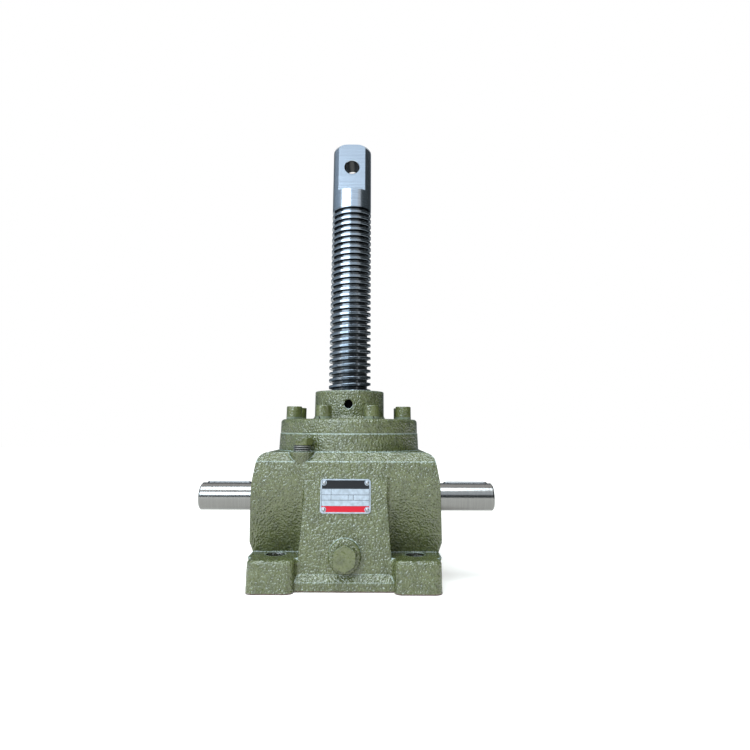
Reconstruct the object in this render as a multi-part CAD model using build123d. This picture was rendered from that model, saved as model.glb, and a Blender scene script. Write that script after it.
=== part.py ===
from build123d import *

import os
from math import cos, pi, radians, sin, sqrt, tan

# Worm-gear screw jack with a rising screw, in millimetres.
# The origin is on the screw axis at the underside of the base and +Z is up.
# The input shaft lies along X, and the nameplate and drain plug face -Y.

# Lifting screw
SCREW_DIAMETER = 52.0
SCREW_REACH = 332.0  # above the hub, in the raised pose
SCREW_BOTTOM = 8.0  # height of the lower end, in the raised pose
THREAD_DEPTH = 4.5
HEAD_ACROSS_FLATS = 37.6
HEAD_FLAT_LENGTH = 68.0
HEAD_ROUNDING = 7.0
CROSS_HOLE_DIAMETER = 19.0
CROSS_HOLE_DROP = 34.0  # below the top of the screw
CROSS_HOLE_CHAMFER = 1.0

# Cast housing
BODY_WIDTH = 196.0  # across the machined faces round the shaft
BODY_HEIGHT = 130.0
BODY_CORNER = 12.0
BODY_SHOULDER = 9.0
SIDE_ROUNDING = 11.0  # along the top of each side
SIDE_BULGE = 3.2  # of the casting past a machined face, above the feet
SIDE_BULGE_HEIGHT = 40.0
SIDE_WAIST = 0.8  # the same, where the side starts to lean in
SIDE_WAIST_HEIGHT = 100.0
SIDE_LEAN = 5.4  # inwards from there to the top
SIDE_BLEND = 45.0
SPOT_FACE_DIAMETER = 62.0
FRONT_WALL = 18.7  # in front of the input shaft's bearings
FRONT_LEAN = 2.5  # of the front face backwards, degrees
FRONT_LEAN_START = 36.0  # height
SEAT_EDGE = 0.5  # of the seat outside the cover's flange
SEAT_HEIGHT = 19.0
SEAT_DRAFT = 2.0  # degrees
CASTING_WALL = 12.0

# Base and feet
BASE_INSET = 1.5  # of the feet inside the machined faces
FOOT_REACH = 13.8  # in front of the body and behind it
FOOT_GAP = 98.8  # between two feet
FOOT_HEIGHT = 30.0
FOOT_CORNER = 8.0
FOOT_EDGE = 4.0
WEB_FILLET = 5.5
MINIMUM_FLAT = 0.3  # left between the two roundings of a foot
FOOT_HOLE_DIAMETER = 20.0
FOOT_HOLE_SPACING_X = 144.0
FOOT_HOLE_SPACING_Y = 156.0
LIP_PROUD = 4.0
LIP_FACE = 8.6
LIP_TOP = 15.3

# Reliefs above the feet, which leave the raised centre panels
RELIEF_TOP = 118.0
RELIEF_START_SLOPE = 0.0  # degrees
RELIEF_SLOPE = 23.0  # degrees
RELIEF_BEND = 120.0  # radius between the two slopes
PANEL_TOP_WIDTH = 80.8
PANEL_BOTTOM_WIDTH = 93.8
RELIEF_FILLET = 6.0

# Worm gear set
GEAR_MODULE = 2.0
WHEEL_TEETH = 36
WORM_STARTS = 3
PRESSURE_ANGLE = 20.0
TOOTH_PLAY = 0.5  # taken off each tooth at the pitch line
CENTRE_DISTANCE = 54.0
WORM_AXIS_HEIGHT = 83.0
WORM_HAND = 1  # right-handed
WHEEL_FACE_WIDTH = 24.0
WORM_LENGTH = 48.0

# Wheel hub and its thrust ball bearings
WHEEL_HUB_DIAMETER = 71.0
WHEEL_HUB_LENGTH = 60.0
THRUST_BORE = 65.0
THRUST_DIAMETER = 90.0
THRUST_HEIGHT = 18.0
THRUST_WASHER = 5.8
THRUST_BALL = 8.6
THRUST_BALL_COUNT = 14
THRUST_PLAY = 1.0  # of each turning edge, on the radius
HOUSING_BORE = 96.0
SPIGOT_RIM = 4.0
CAGE_THICKNESS = 3.0
CAGE_WALL = 2.0

# Input shaft, its ball bearings, rings and seals
SHAFT_DIAMETER = 28.0
SHAFT_LENGTH = 320.0
SHAFT_CHAMFER = 1.5
SHAFT_SHOULDER_DIAMETER = 35.0
SHAFT_COLLAR_PROUD = 2.0
BALL_BEARING_BORE = 30.0
BALL_BEARING_OUTSIDE = 47.0
BALL_BEARING_WIDTH = 9.0
BALL_BEARING_RACE = 2.9
BALL_BEARING_BALL = 4.6
BALL_BEARING_COUNT = 11
BALL_BEARING_INSET = 11.0  # outer side of the bearing to the side of the body
RETAINING_RING_THICKNESS = 1.75
RETAINING_RING_WALL = 3.6
RETAINING_RING_GROOVE = 1.2
SEAL_WIDTH = 7.0
SEAL_INSET = 1.0
KEY_WIDTH = 8.0
KEY_HEIGHT = 7.0
KEY_SEAT_DEPTH = 4.0
KEY_END_MARGIN = 3.0
KEY_INNER_MARGIN = 7.0  # to the collar next to the body
KEY_ANGLE = 42.0  # of both keys behind the top at rest, degrees

# Top cover
GASKET_THICKNESS = 0.6
FLANGE_DIAMETER = 165.0
FLANGE_THICKNESS = 15.4
FLANGE_EDGE = 4.0
HUB_DIAMETER = 84.6
HUB_HEIGHT = 33.0
HUB_EDGE = 1.5
HUB_FILLET = 5.0
HUB_HOLE_DIAMETER = 10.0
HUB_HOLE_RISE = 17.0

# Cover screws and spring washers
SCREW_TO_EDGE = 12.5  # of the flange
COVER_SCREW_COUNT = 8
COVER_SCREW_DIAMETER = 12.0
COVER_SCREW_LENGTH = 35.0
COVER_SCREW_HEAD = 18.0
COVER_SCREW_SOCKET = 10.0
SPRING_WASHER_THICKNESS = 2.5
SPRING_WASHER_OUTSIDE = 18.1
SPRING_WASHER_GAP = 1.4

# Guide bushes and wipers round the screw
BUSH_WALL = 5.0
WIPER_WALL = 6.0
WIPER_HEIGHT = 6.0
HUB_WIPER_SINK = 1.0
BASE_WIPER_SINK = 2.0

# Plugs
DRAIN_HEIGHT = 31.4
DRAIN_BOSS_RADIUS = 16.6
DRAIN_BOSS_PROUD = 3.5
DRAIN_BOSS_EDGE = 3.0
DRAIN_HEX = 22.0
DRAIN_HEX_HEIGHT = 8.0
VENT_ANGLE = 240.0  # degrees from +X
VENT_TO_SEAT = 12.9
VENT_BOSS_RISE = 1.0
VENT_BOSS_RADIUS = 14.0
VENT_BOSS_DEPTH = 14.0
VENT_HEX = 19.0
VENT_HEX_HEIGHT = 7.5
VENT_NECK = 6.5
PLUG_THREAD_DIAMETER = 16.6
PLUG_THREAD_LENGTH = 12.0
PLUG_DRILLING = 10.0
PLUG_WASHER_THICKNESS = 1.5

# Nameplate
PLATE_WIDTH = 52.0
PLATE_HEIGHT = 33.0
PLATE_THICKNESS = 1.0
PLATE_CORNER = 3.0
PLATE_CENTRE_HEIGHT = 87.5
RIVET_HEAD = 4.0
RIVET_SHANK = 2.0
RIVET_LENGTH = 5.0
RIVET_INSET = 3.6

# Clearances
RUNNING_FIT = 0.1  # radial, between turning or sliding pieces
THREAD_FIT = 0.1  # radial, round a screw or plug in its tapped hole
ROLLING_FIT = 0.05  # between a ball and its groove
BOLT_FIT = 0.5  # radial, round a bolt in a plain hole
OIL_GAP = 1.0  # round the worm in its tunnel
CUT_PAST = 1.0  # how far a cut runs past the face that it opens

# Places worked out from the sizes
body_depth = 2 * (CENTRE_DISTANCE + BALL_BEARING_OUTSIDE / 2 + FRONT_WALL)
body_front = -body_depth / 2
base_width = BODY_WIDTH - 2 * BASE_INSET
base_depth = body_depth + 2 * FOOT_REACH
seat_diameter = FLANGE_DIAMETER + 2 * SEAT_EDGE
screw_circle = FLANGE_DIAMETER - 2 * SCREW_TO_EDGE
body_side = BODY_WIDTH / 2
seat_top = BODY_HEIGHT + SEAT_HEIGHT
flange_bottom = seat_top + GASKET_THICKNESS
flange_top = flange_bottom + FLANGE_THICKNESS
hub_top = flange_top + HUB_HEIGHT
screw_top = hub_top + SCREW_REACH
screw_bore = SCREW_DIAMETER + 2 * RUNNING_FIT
bush_outside = SCREW_DIAMETER + 2 * BUSH_WALL
wiper_outside = bush_outside + 2 * WIPER_WALL
hub_lower = WORM_AXIS_HEIGHT - WHEEL_HUB_LENGTH / 2
hub_upper = WORM_AXIS_HEIGHT + WHEEL_HUB_LENGTH / 2
bearing_floor = hub_lower - THRUST_HEIGHT
bearing_ceiling = hub_upper + THRUST_HEIGHT
shaft_y = -CENTRE_DISTANCE
bearing_outer_side = body_side - BALL_BEARING_INSET
bearing_inner_side = bearing_outer_side - BALL_BEARING_WIDTH
seal_outer_side = body_side - SEAL_INSET
wheel_pitch_radius = GEAR_MODULE * WHEEL_TEETH / 2
worm_pitch_radius = CENTRE_DISTANCE - wheel_pitch_radius
worm_tip_radius = worm_pitch_radius + GEAR_MODULE
worm_lead = pi * GEAR_MODULE * WORM_STARTS
drain_face = body_front - DRAIN_BOSS_PROUD
vent_face = BODY_HEIGHT + VENT_BOSS_RISE
vent_x = (seat_diameter / 2 + VENT_TO_SEAT) * cos(radians(VENT_ANGLE))
vent_y = (seat_diameter / 2 + VENT_TO_SEAT) * sin(radians(VENT_ANGLE))
key_length = SHAFT_LENGTH / 2 - body_side - SHAFT_COLLAR_PROUD - KEY_END_MARGIN - KEY_INNER_MARGIN


def rod(radius, bottom, top, x=0.0, y=0.0):
    """Upright cylinder from one height to another."""
    return Pos(x, y, (bottom + top) / 2) * Cylinder(radius, top - bottom)


def ring(inside, outside, bottom, top):
    """Upright ring round the screw axis, from its two diameters."""
    return rod(outside / 2, bottom, top) - rod(inside / 2, bottom - CUT_PAST, top + CUT_PAST)


def along_shaft(shape):
    """Turn an upright shape round Z=0 into one along the input shaft's axis."""
    return Pos(0, shaft_y, WORM_AXIS_HEIGHT) * Rot(0, 90, 0) * shape


def on_both_sides(make):
    """The two mirrored copies of a piece near the ends of the input shaft."""
    piece = make()
    return [piece, mirror(piece, about=Plane.YZ)]


def hexagon(across_flats, bottom, top):
    """Upright hexagonal prism with its points at +X and -X."""
    outline = RegularPolygon(across_flats / 2, 6, major_radius=False)
    return Pos(0, 0, bottom) * extrude(outline, top - bottom)


def bolt_circle(shape):
    """Copies of a shape at the cover's screw places, from one placed on +X."""
    step = 360 / COVER_SCREW_COUNT
    return [Rot(0, 0, step * (place + 0.5)) * shape for place in range(COVER_SCREW_COUNT)]


def front_facing(shape, height, face, lean=0.0):
    """Upright shape turned so that its top faces -Y at one height of the front."""
    return Pos(0, face, height) * Rot(90 - lean, 0, 0) * shape


def front_at(height):
    """Place of the leaning front face at one height."""
    return body_front + max(height - FRONT_LEAN_START, 0) * tan(radians(FRONT_LEAN))


def on_front(shape):
    """Upright shape laid on the leaning front face where the nameplate is."""
    return front_facing(shape, PLATE_CENTRE_HEIGHT, front_at(PLATE_CENTRE_HEIGHT), FRONT_LEAN)


# Cast housing

def base_outline():
    """Footprint with the front and back edges set in between the feet."""
    gap = FOOT_GAP
    inset = base_depth / 2 + body_front
    outline = Rectangle(base_width, base_depth)
    for side in (-1, 1):
        notch_y = side * (base_depth / 2 - inset / 2)
        outline -= Pos(0, notch_y) * Rectangle(gap, inset)
    corners = outline.vertices().filter_by(lambda v: abs(v.Y) > base_depth / 2 - 0.01)
    straight = min(1, (FOOT_REACH - MINIMUM_FLAT) / (FOOT_CORNER + WEB_FILLET))
    outline = fillet(corners, FOOT_CORNER * straight)
    inner = outline.vertices().filter_by(
        lambda v: abs(abs(v.X) - gap / 2) < 0.01 and abs(abs(v.Y) + body_front) < 0.01)
    outline = fillet(inner, WEB_FILLET * straight)
    return outline


def base_block():
    """Four feet and the web between them."""
    block = extrude(base_outline(), FOOT_HEIGHT)
    top = block.faces().sort_by(Axis.Z)[-1]
    return fillet(top.edges(), FOOT_EDGE)


def base_lip():
    """Low ledge along the bottom edge between two feet."""
    profile = Polyline(
        (body_front + LIP_PROUD, 0),
        (body_front - LIP_PROUD, 0),
        (body_front - LIP_PROUD, LIP_FACE),
        (body_front, LIP_TOP),
        (body_front + LIP_PROUD, LIP_TOP),
        close=True,
    )
    length = FOOT_GAP + 2 * LIP_PROUD
    lip = Plane.YZ * make_face(profile)
    return extrude(lip, length / 2, both=True)


def relief():
    """Hollow above the front foot on the +X side, sloping in from the front."""
    above = BODY_HEIGHT + SEAT_HEIGHT
    outside = body_front - 4 * CASTING_WALL
    start = radians(RELIEF_START_SLOPE)
    middle = radians((RELIEF_START_SLOPE + RELIEF_SLOPE) / 2)
    finish = radians(RELIEF_SLOPE)

    def bend(angle):
        return (
            front_at(RELIEF_TOP) + RELIEF_BEND * (cos(start) - cos(angle)),
            RELIEF_TOP - RELIEF_BEND * (sin(angle) - sin(start)),
        )

    upper = (front_at(RELIEF_TOP) - (above - RELIEF_TOP) * tan(start), above)
    bend_end = bend(finish)
    lower = (bend_end[0] + (bend_end[1] - FOOT_HEIGHT) * tan(finish), FOOT_HEIGHT)
    slope = [
        Line(upper, bend(start)),
        ThreePointArc(bend(start), bend(middle), bend_end),
        Line(bend_end, lower),
        Line(lower, (outside, FOOT_HEIGHT)),
        Line((outside, FOOT_HEIGHT), (outside, above)),
        Line((outside, above), upper),
    ]
    wedge = extrude(Plane.YZ * make_face(slope), BODY_WIDTH)
    spread = (PANEL_BOTTOM_WIDTH - PANEL_TOP_WIDTH) / (RELIEF_TOP - FOOT_HEIGHT) / 2
    side = Polyline(
        (PANEL_TOP_WIDTH / 2 - (above - RELIEF_TOP) * spread, above),
        (PANEL_BOTTOM_WIDTH / 2, FOOT_HEIGHT),
        (BODY_WIDTH, FOOT_HEIGHT),
        (BODY_WIDTH, above),
        close=True,
    )
    limit = extrude(Plane.XZ * make_face(side), -outside)
    hollow = wedge & limit
    panel_side = hollow.faces().sort_by(Axis.X)[0]
    ridge = panel_side.edges().filter_by(
        lambda e: min(end.Y for end in e.vertices()) > outside + CUT_PAST)
    return fillet(ridge, RELIEF_FILLET)


def drain_boss():
    """Round pad under the drain plug."""
    pad = rod(DRAIN_BOSS_RADIUS, -DRAIN_BOSS_PROUD, DRAIN_BOSS_PROUD)
    pad = fillet(pad.faces().sort_by(Axis.Z)[-1].edges(), DRAIN_BOSS_EDGE)
    return front_facing(pad, DRAIN_HEIGHT, body_front)


def vent_boss():
    """Tapered pad under the vent plug."""
    waist = VENT_BOSS_RADIUS - VENT_BOSS_DEPTH / 3
    pad = Cone(waist, VENT_BOSS_RADIUS, VENT_BOSS_DEPTH)
    return Pos(vent_x, vent_y, vent_face - VENT_BOSS_DEPTH / 2) * pad


def seat():
    """Round seat of the cover, with casting draft."""
    disc = extrude(Circle(seat_diameter / 2), SEAT_HEIGHT, taper=-SEAT_DRAFT)
    return Pos(0, 0, seat_top) * Rot(180, 0, 0) * disc


def oil_space():
    """Hollow inside the housing: wheel chamber, worm bay and oil ways."""
    chamber_floor = bearing_floor + THRUST_HEIGHT / 2 + SPIGOT_RIM / 2
    chamber_top = BODY_HEIGHT - 1.5 * CASTING_WALL
    chamber_width = 2 * (bearing_inner_side - CASTING_WALL / 2)
    chamber_depth = HOUSING_BORE + SPIGOT_RIM
    chamber_height = chamber_top - chamber_floor
    chamber = Pos(0, 0, (chamber_top + chamber_floor) / 2) * Box(
        chamber_width, chamber_depth, chamber_height)
    chamber = fillet(chamber.edges().filter_by(Axis.Z), CASTING_WALL)
    bay_front = body_front + CASTING_WALL
    bay_floor = DRAIN_HEIGHT - PLUG_DRILLING / 2
    bay_width = PANEL_TOP_WIDTH - CASTING_WALL
    bay_back = -chamber_depth / 2
    bay = Pos(0, (bay_front + bay_back) / 2, (bay_floor + chamber_top) / 2) * Box(
        bay_width, bay_back - bay_front, chamber_top - bay_floor)
    bay = fillet(bay.edges().filter_by(Axis.Z).sort_by(Axis.Y)[:2], CASTING_WALL / 2)
    return chamber + bay


def vent_way():
    """Slanted drilling from the vent plug's hole into the worm bay."""
    start = Vector(vent_x, vent_y, vent_face - VENT_BOSS_DEPTH + 1)
    bay_corner = Vector(
        -(PANEL_TOP_WIDTH - CASTING_WALL) / 2 + PLUG_DRILLING / 2,
        body_front + 2 * CASTING_WALL,
        BODY_HEIGHT - 2.5 * CASTING_WALL,
    )
    way = bay_corner - start
    plane = Plane(origin=start, z_dir=way)
    return plane * Pos(0, 0, way.length / 2) * Cylinder(PLUG_DRILLING / 3, way.length)


def housing_bores():
    """Everything machined into the casting."""
    bores = rod(HOUSING_BORE / 2, bearing_floor + THRUST_HEIGHT / 2, seat_top + 1)
    bores += rod(THRUST_DIAMETER / 2, bearing_floor, seat_top)
    bores += rod(bush_outside / 2, -1, bearing_floor + 1)
    bores += rod(wiper_outside / 2, -1, BASE_WIPER_SINK + WIPER_HEIGHT)
    tunnel = Cylinder(worm_tip_radius + OIL_GAP, 2 * bearing_inner_side)
    bores += along_shaft(tunnel)
    for side in (-1, 1):
        pocket_length = body_side - bearing_inner_side + 1
        pocket = Cylinder(BALL_BEARING_OUTSIDE / 2, pocket_length)
        groove = Cylinder(
            BALL_BEARING_OUTSIDE / 2 + RETAINING_RING_GROOVE, RETAINING_RING_THICKNESS)
        groove_centre = bearing_outer_side + RETAINING_RING_THICKNESS / 2
        bores += along_shaft(Pos(0, 0, side * (bearing_inner_side + pocket_length / 2)) * pocket)
        bores += along_shaft(Pos(0, 0, side * groove_centre) * groove)
    return bores


def tapped_holes():
    """Holes for the cover screws, the plugs and the plate rivets."""
    screw_depth = COVER_SCREW_LENGTH - FLANGE_THICKNESS + 2 * THREAD_DEPTH
    screw_hole = rod(
        COVER_SCREW_DIAMETER / 2 + THREAD_FIT, seat_top - screw_depth, seat_top + 1,
        screw_circle / 2)
    plug_radius = PLUG_THREAD_DIAMETER / 2 + THREAD_FIT
    drain_thread = rod(plug_radius, -PLUG_THREAD_LENGTH - 1, 1)
    drain_drilling = rod(PLUG_DRILLING / 2, -2 * CASTING_WALL, 0)
    holes = bolt_circle(screw_hole)
    holes.append(front_facing(drain_thread + drain_drilling, DRAIN_HEIGHT, drain_face))
    holes.append(rod(plug_radius, vent_face - VENT_BOSS_DEPTH + 1, vent_face + 1, vent_x, vent_y))
    holes.append(vent_way())
    rivet_hole = rod(RIVET_SHANK / 2, -RIVET_LENGTH, 1)
    holes += [on_front(Pos(x, y) * rivet_hole) for x, y in rivet_places()]
    return holes


def foot_holes():
    """The four holes for the mounting bolts."""
    return [rod(FOOT_HOLE_DIAMETER / 2, -1, FOOT_HEIGHT + 1,
                x * FOOT_HOLE_SPACING_X / 2, y * FOOT_HOLE_SPACING_Y / 2)
            for x in (-1, 1) for y in (-1, 1)]


def cast_body():
    """Body above the feet, as it looks from above, from the front and from the side."""
    bottom = FOOT_HEIGHT - FOOT_EDGE
    widest = body_side + SIDE_BULGE
    plan = Pos(0, 0, (bottom + BODY_HEIGHT) / 2) * Box(
        2 * widest, body_depth, BODY_HEIGHT - bottom)
    plan = fillet(plan.edges().filter_by(Axis.Z), BODY_CORNER)
    half = [
        (base_width / 2, bottom),
        (widest, SIDE_BULGE_HEIGHT),
        (body_side + SIDE_WAIST, SIDE_WAIST_HEIGHT),
        (body_side + SIDE_WAIST - SIDE_LEAN, BODY_HEIGHT),
    ]
    outline = make_face(Polyline(*half, *[(-x, z) for x, z in reversed(half)], close=True))
    for height, radius in (
            (SIDE_BULGE_HEIGHT, FOOT_EDGE), (SIDE_WAIST_HEIGHT, SIDE_BLEND),
            (BODY_HEIGHT, SIDE_ROUNDING)):
        corners = outline.vertices().filter_by(lambda v: abs(v.Y - height) < 0.01)
        outline = fillet(corners, radius)
    front_view = extrude(Plane.XZ * outline, body_depth / 2, both=True)
    shoulder = BODY_HEIGHT - BODY_SHOULDER
    front = [
        (body_front, bottom),
        (body_front, FRONT_LEAN_START),
        (front_at(shoulder), shoulder),
        (front_at(shoulder) + BODY_SHOULDER, BODY_HEIGHT),
    ]
    outline = make_face(Polyline(*front, *[(-y, z) for y, z in reversed(front)], close=True))
    side_view = extrude(Plane.YZ * outline, widest, both=True)
    return plan & front_view & side_view


def spot_faces():
    """Flats machined into the sides round the input shaft."""
    cutter = Cylinder(SPOT_FACE_DIAMETER / 2, 2 * SIDE_BULGE)
    return [along_shaft(Pos(0, 0, side * (body_side + SIDE_BULGE)) * cutter) for side in (-1, 1)]


def housing():
    """One iron casting with its machined bores."""
    body = cast_body() + base_block()
    hollow = relief()
    for across in (False, True):
        for back in (False, True):
            tool = mirror(hollow, about=Plane.YZ) if across else hollow
            tool = mirror(tool, about=Plane.XZ) if back else tool
            body -= tool
    lip = base_lip()
    body += [lip, mirror(lip, about=Plane.XZ)]
    body += [seat(), drain_boss(), vent_boss()]
    body -= spot_faces()
    body -= oil_space()
    body -= housing_bores()
    body -= tapped_holes()
    body -= foot_holes()
    return body


# Top cover and what it holds

def top_cover():
    """Flange, hub and the spigot that centres the cover in the housing."""
    hub = rod(HUB_DIAMETER / 2, flange_bottom, hub_top)
    hub = fillet(hub.faces().sort_by(Axis.Z)[-1].edges(), HUB_EDGE)
    flange = rod(FLANGE_DIAMETER / 2, flange_bottom, flange_top)
    flange = fillet(flange.faces().sort_by(Axis.Z)[-1].edges(), FLANGE_EDGE)
    cover = flange + hub
    root = cover.edges().filter_by(GeomType.CIRCLE).filter_by(
        lambda e: abs(e.radius - HUB_DIAMETER / 2) < 0.01
        and abs(e.center().Z - flange_top) < 0.01)
    cover = fillet(root, HUB_FILLET)
    cover += rod(HOUSING_BORE / 2 - RUNNING_FIT, bearing_ceiling - SPIGOT_RIM, flange_bottom)
    cover -= rod(THRUST_DIAMETER / 2, bearing_ceiling - SPIGOT_RIM - 1, bearing_ceiling)
    cover -= rod(bush_outside / 2, bearing_ceiling - 1, hub_top + 1)
    cover -= rod(wiper_outside / 2, hub_top - HUB_WIPER_SINK - WIPER_HEIGHT, hub_top + 1)
    clear = COVER_SCREW_DIAMETER / 2 + BOLT_FIT
    cover -= bolt_circle(rod(clear, flange_bottom - 1, flange_top + 1, screw_circle / 2))
    hole = rod(HUB_HOLE_DIAMETER / 2, -HUB_DIAMETER / 4, 1)
    cover -= front_facing(hole, flange_top + HUB_HOLE_RISE, -HUB_DIAMETER / 2)
    return cover


def cover_gasket():
    """Flat ring between the seat and the flange."""
    gasket = ring(HOUSING_BORE, FLANGE_DIAMETER, seat_top, flange_bottom)
    clear = COVER_SCREW_DIAMETER / 2 + BOLT_FIT
    return gasket - bolt_circle(rod(clear, seat_top - 1, flange_bottom + 1, screw_circle / 2))


def cover_screw():
    """Socket-head cap screw on +X."""
    under_head = flange_top + SPRING_WASHER_THICKNESS
    head_top = under_head + COVER_SCREW_DIAMETER
    head = rod(COVER_SCREW_HEAD / 2, under_head, head_top)
    head = fillet(head.faces().sort_by(Axis.Z)[-1].edges(), COVER_SCREW_DIAMETER / 12)
    shank = rod(COVER_SCREW_DIAMETER / 2, under_head - COVER_SCREW_LENGTH, under_head)
    shank = chamfer(shank.faces().sort_by(Axis.Z)[0].edges(), COVER_SCREW_DIAMETER / 12)
    socket = hexagon(COVER_SCREW_SOCKET, head_top - COVER_SCREW_DIAMETER / 2, head_top + 1)
    return Pos(screw_circle / 2, 0, 0) * (head + shank - socket)


def spring_washer():
    """Split washer on +X, pressed flat."""
    washer = ring(COVER_SCREW_DIAMETER + 2 * THREAD_FIT, SPRING_WASHER_OUTSIDE,
                  flange_top, flange_top + SPRING_WASHER_THICKNESS)
    reach = SPRING_WASHER_OUTSIDE
    cut = Pos(reach / 2, 0, flange_top) * Rot(30, 0, 0) * Box(reach, SPRING_WASHER_GAP, reach)
    return Pos(screw_circle / 2, 0, 0) * (washer - cut)


def guide_bush(bottom, top):
    """Bronze bush that guides the screw."""
    return ring(screw_bore, bush_outside, bottom, top)


def wiper(bottom):
    """Ring that wipes the screw where it leaves the housing."""
    return ring(screw_bore, wiper_outside, bottom, bottom + WIPER_HEIGHT)


# Lifting screw

def lifting_screw():
    """Screw with two flats and a cross hole at its head."""
    shank = rod(SCREW_DIAMETER / 2, SCREW_BOTTOM, screw_top)
    shank = fillet(shank.faces().sort_by(Axis.Z)[-1].edges(), HEAD_ROUNDING)
    shank = chamfer(shank.faces().sort_by(Axis.Z)[0].edges(), THREAD_DEPTH)
    flat_bottom = screw_top - HEAD_FLAT_LENGTH
    for side in (-1, 1):
        y = side * (HEAD_ACROSS_FLATS + SCREW_DIAMETER) / 2
        shank -= Pos(0, y, (flat_bottom + screw_top + 1) / 2) * Box(
            SCREW_DIAMETER + 1, SCREW_DIAMETER, HEAD_FLAT_LENGTH + 1)
    eye = Cylinder(CROSS_HOLE_DIAMETER / 2, HEAD_ACROSS_FLATS)
    rim = Cone(CROSS_HOLE_DIAMETER / 2, CROSS_HOLE_DIAMETER / 2 + CROSS_HOLE_CHAMFER,
               CROSS_HOLE_CHAMFER)
    rim_height = (HEAD_ACROSS_FLATS - CROSS_HOLE_CHAMFER) / 2
    eye += Pos(0, 0, rim_height) * rim
    eye += Pos(0, 0, -rim_height) * Rot(180, 0, 0) * rim
    return shank - front_facing(eye, screw_top - CROSS_HOLE_DROP, 0)


# Worm gear set

def polar(radius, angle):
    """Point at a radius and an angle in radians."""
    return (radius * cos(angle), radius * sin(angle))


def tooth_gap():
    """Slanted cutter for the wheel's tooth space that faces the worm."""
    root = wheel_pitch_radius - 1.25 * GEAR_MODULE
    slope = tan(radians(PRESSURE_ANGLE))
    pitch_half = (pi * GEAR_MODULE / 2 + TOOTH_PLAY) / 2
    outside = wheel_pitch_radius + 2 * GEAR_MODULE
    root_half = pitch_half - (wheel_pitch_radius - root) * slope
    outer_half = pitch_half + (outside - wheel_pitch_radius) * slope
    section = Polyline(
        (-root_half, -root),
        (root_half, -root),
        (outer_half, -outside),
        (-outer_half, -outside),
        close=True,
    )
    along = Vector(WORM_HAND * worm_lead / (2 * pi * worm_pitch_radius), 0, 1)
    lower = Pos(*(along * (-WHEEL_FACE_WIDTH / 2))) * make_face(section)
    return Solid.extrude(lower.face(), along * WHEEL_FACE_WIDTH)


def worm_section():
    """Outline of the worm, square to its axis, with one lobe for each start."""
    root = worm_pitch_radius - 1.25 * GEAR_MODULE
    pitch_half = (pi * GEAR_MODULE / 2 - TOOTH_PLAY) / 2
    turn = 2 * pi / worm_lead

    def half_angle(radius):
        """Half the thread's angle at a radius, from its straight axial flank."""
        slope = tan(radians(PRESSURE_ANGLE))
        return (pitch_half - (radius - worm_pitch_radius) * slope) * turn

    flank = (root, worm_pitch_radius, worm_tip_radius)
    step = 2 * pi / WORM_STARTS
    edges = []
    for start in range(WORM_STARTS):
        middle = start * step
        rise = [polar(r, middle - half_angle(r)) for r in flank]
        fall = [polar(r, middle + half_angle(r)) for r in reversed(flank)]
        following = polar(root, middle + step - half_angle(root))
        edges.append(ThreePointArc(*rise))
        edges.append(ThreePointArc(rise[-1], polar(worm_tip_radius, middle), fall[0]))
        edges.append(ThreePointArc(*fall))
        edges.append(ThreePointArc(fall[-1], polar(root, middle + step / 2), following))
    return make_face(edges)


def twisted(section, length, turn):
    """Extrude a section evenly about the middle while it turns."""
    placed = Rot(0, 0, -turn / 2) * Pos(0, 0, -length / 2) * section
    return Solid.extrude_linear_with_rotation(
        placed.face(), center=(0, 0, -length / 2), normal=(0, 0, length), angle=turn)


def worm_wheel():
    """Toothed wheel whose bore is the nut of the lifting screw."""
    rim_lower = WORM_AXIS_HEIGHT - WHEEL_FACE_WIDTH / 2
    rim_upper = WORM_AXIS_HEIGHT + WHEEL_FACE_WIDTH / 2
    rim = rod(wheel_pitch_radius + GEAR_MODULE, rim_lower, rim_upper)
    gap = Pos(0, 0, WORM_AXIS_HEIGHT) * tooth_gap()
    rim -= [Rot(0, 0, 360 / WHEEL_TEETH * (place + 0.5)) * gap for place in range(WHEEL_TEETH)]
    journal = THRUST_HEIGHT - THRUST_WASHER / 2
    hub = rod(WHEEL_HUB_DIAMETER / 2, hub_lower, rim_lower)
    hub += rod(WHEEL_HUB_DIAMETER / 2, rim_upper, hub_upper)
    hub += rod(THRUST_BORE / 2, hub_lower - journal, hub_upper + journal)
    bore = rod(screw_bore / 2, bearing_floor, bearing_ceiling)
    return rim + hub - bore


def input_shaft():
    """Double-ended shaft with the worm cut from the same bar."""
    turn = WORM_HAND * WORM_LENGTH / worm_lead * 360
    gap_to_wheel = Rot(0, 0, 90 - 180 / WORM_STARTS)
    worm = along_shaft(twisted(gap_to_wheel * worm_section(), WORM_LENGTH, turn))
    shoulder = Cylinder(SHAFT_SHOULDER_DIAMETER / 2, bearing_inner_side - WORM_LENGTH / 2)
    place = (bearing_inner_side + WORM_LENGTH / 2) / 2
    seat_length = 2 * (body_side + SHAFT_COLLAR_PROUD)
    bar = Cylinder(SHAFT_DIAMETER / 2, SHAFT_LENGTH)
    bar = chamfer(bar.edges().filter_by(GeomType.CIRCLE), SHAFT_CHAMFER)
    bar += Cylinder(BALL_BEARING_BORE / 2, seat_length)
    bar += Pos(0, 0, place) * shoulder
    bar += Pos(0, 0, -place) * shoulder
    shaft = along_shaft(bar) + worm
    seat_box = key_blank(KEY_SEAT_DEPTH + SHAFT_DIAMETER)
    return shaft - [seat_box, mirror(seat_box, about=Plane.YZ)]


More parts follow.
